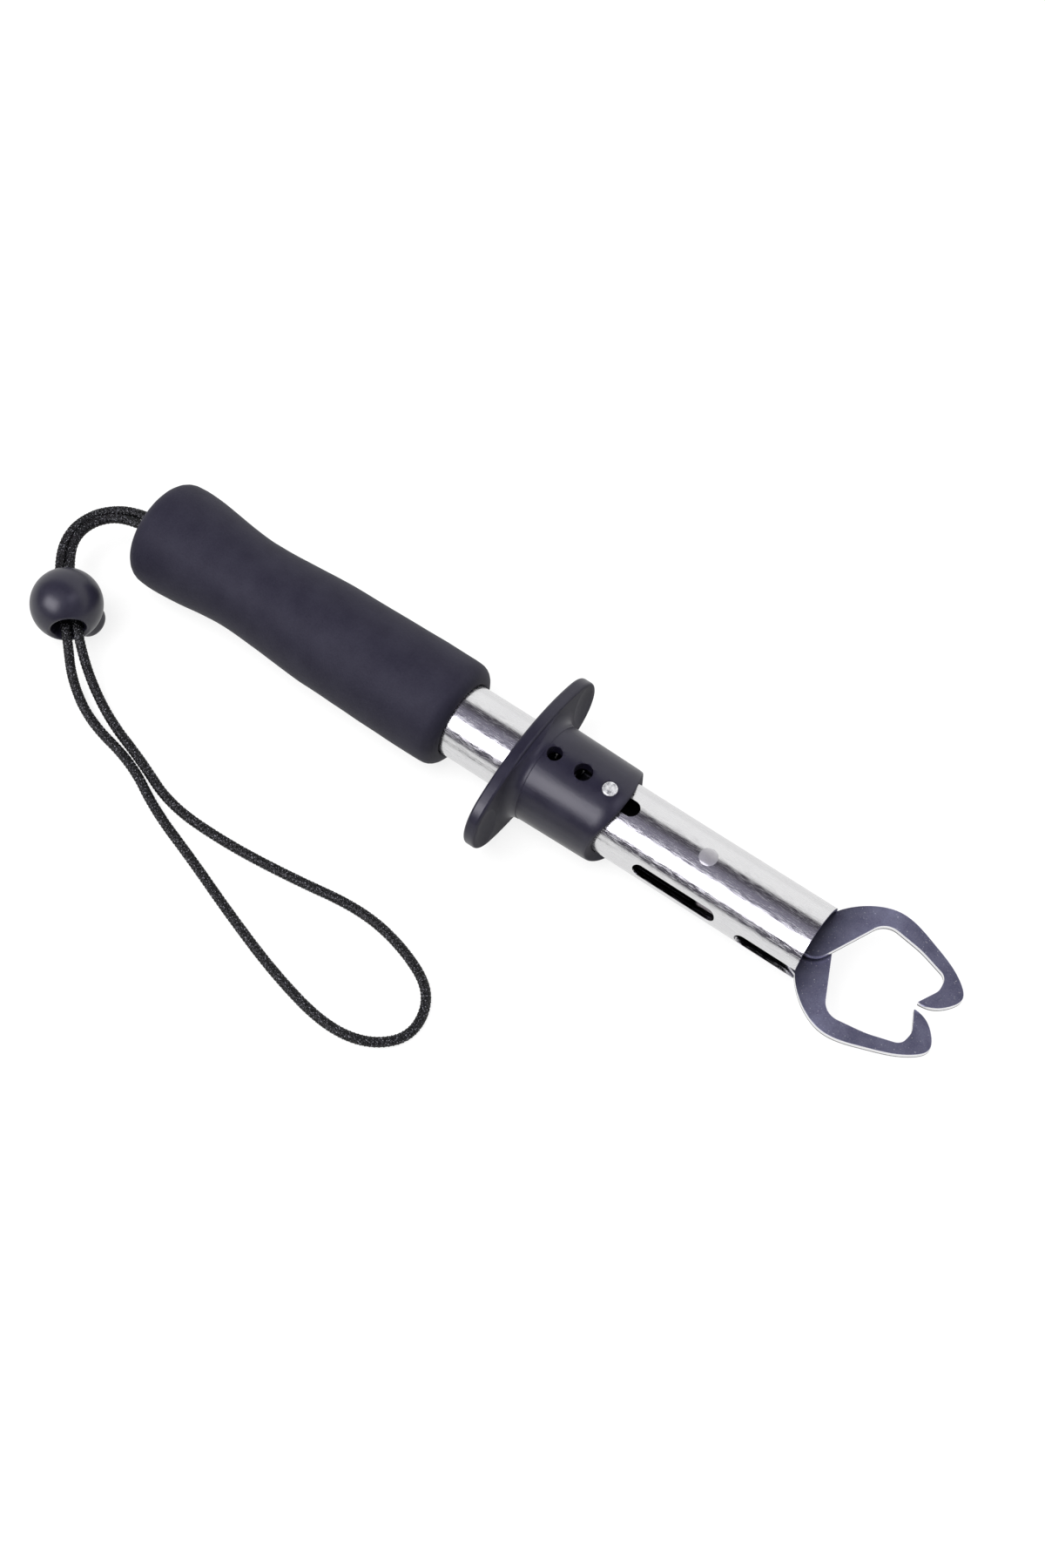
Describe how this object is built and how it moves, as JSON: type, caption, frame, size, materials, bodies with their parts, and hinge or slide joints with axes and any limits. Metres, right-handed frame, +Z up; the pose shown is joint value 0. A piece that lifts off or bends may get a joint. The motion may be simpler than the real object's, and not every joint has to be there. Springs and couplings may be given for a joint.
{
  "type": "lip grip",
  "caption": "Fish lip grip: hooked steel jaws in a slotted steel tube, opened by drawing back a sprung finger collar, with a foam handle and a doubled wrist lanyard.",
  "frame": {"origin": "on the surface that the tool lies on, below the tube's centre line, midway between the grip's rear face and the crowns of the hooks", "axes": "+X along the tube, from the grip to the jaws; +Y towards the upper jaw's hook; +Z up, along the rivet, the cam pin and the collar's pin"},
  "size_m": [0.2739, 0.1146, 0.0312],
  "materials": {
    "polished_steel": "polished stainless steel tube",
    "satin_steel": "satin stainless plate with bright cut edges",
    "inner_steel": "plain turned steel",
    "spring_wire": "drawn spring wire",
    "eva_foam": "ground EVA foam, matte",
    "black_nylon": "moulded nylon, satin",
    "natural_nylon": "plain nylon",
    "lock_plastic": "moulded plastic, satin gloss",
    "braided_cord": "braided synthetic cord"
  },
  "bodies": {
    "barrel": {"barrel_tube": "polished_steel", "grip_sleeve": "eva_foam", "knot_washer": "inner_steel", "stop_pin": "inner_steel", "spring_washer": "inner_steel", "pivot_rivet": "satin_steel", "upper_spacer": "natural_nylon", "lower_spacer": "natural_nylon", "jaw_washer": "natural_nylon", "return_spring": "spring_wire", "lanyard_knot": "braided_cord", "lanyard_cord": "braided_cord", "cord_lock_body": "lock_plastic", "cord_lock_spring": "spring_wire"},
    "trigger": {"trigger_collar": "black_nylon", "collar_pin": "satin_steel", "plunger": "inner_steel", "cam_pin": "inner_steel"},
    "upper_jaw": {"upper_jaw": "satin_steel"},
    "lower_jaw": {"lower_jaw": "satin_steel"},
    "lock_button": {"cord_lock_button": "lock_plastic"}
  },
  "joints": [
    {"name": "trigger_slide", "type": "slide", "parent": "barrel", "child": "trigger", "axis": [-1, 0, 0], "range_m": [0, 0.012], "stiffness_N_per_m": 850, "springref_m": -0.012, "deforming": ["return_spring"]},
    {"name": "upper_jaw_hinge", "type": "hinge", "parent": "barrel", "child": "upper_jaw", "pos_m": [0.05485, 0, 0.0156], "axis": [0, 0, 1], "range_deg": [0, 13]},
    {"name": "lower_jaw_hinge", "type": "hinge", "parent": "barrel", "child": "lower_jaw", "pos_m": [0.05485, 0, 0.0156], "axis": [0, 0, -1], "range_deg": [0, 13]},
    {"name": "lock_button_slide", "type": "slide", "parent": "barrel", "child": "lock_button", "axis": [-0.304, -0.2936, 0.9063], "range_m": [0, 0.0025], "stiffness_N_per_m": 2600, "springref_m": -0.001, "deforming": ["cord_lock_spring"]}
  ],
  "couplings": [
    {"joint": "upper_jaw_hinge", "follows": "trigger_slide", "rad_per_m": 18.907},
    {"joint": "lower_jaw_hinge", "follows": "trigger_slide", "rad_per_m": 18.907}
  ]
}
